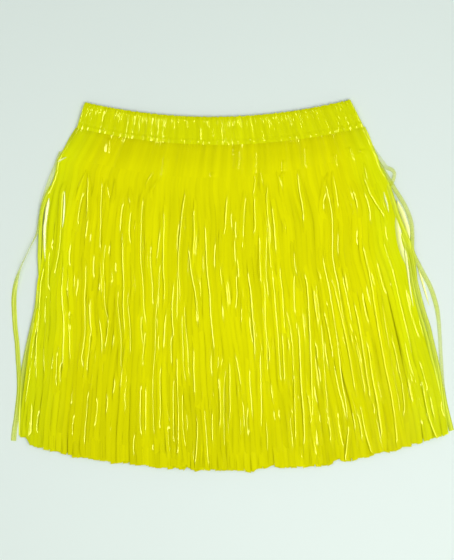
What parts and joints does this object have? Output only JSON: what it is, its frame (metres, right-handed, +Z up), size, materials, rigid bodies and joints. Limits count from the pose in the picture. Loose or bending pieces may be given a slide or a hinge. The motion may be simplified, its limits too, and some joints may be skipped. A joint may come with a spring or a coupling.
{
  "type": "film-fringe hula skirt, laid flat",
  "caption": "Grass skirt of cut plastic film laid flat: gathered elastic waistband, short uncut margin with soft folds, and layered fringe strips fanning out to a jagged hem.",
  "frame": {"origin": "middle of the skirt's outline on the surface it lies on", "axes": "+Z up from the surface, +Y along the surface towards the waistband, +X to the right of the front"},
  "size_m": [0.5036, 0.4236, 0.0089],
  "materials": {
    "film_gathered": "gathered translucent film, satin",
    "film_bright": "translucent film, glossy",
    "film_deep": "translucent film, glossy"
  },
  "bodies": {
    "root": {"waistband_front": "film_gathered", "waistband_back": "film_gathered", "yoke_front": "film_gathered", "yoke_back": "film_gathered", "fringe_front_outer": "film_bright", "fringe_front_inner": "film_deep", "fringe_back_inner": "film_deep", "fringe_back_outer": "film_deep"}
  },
  "joints": []
}
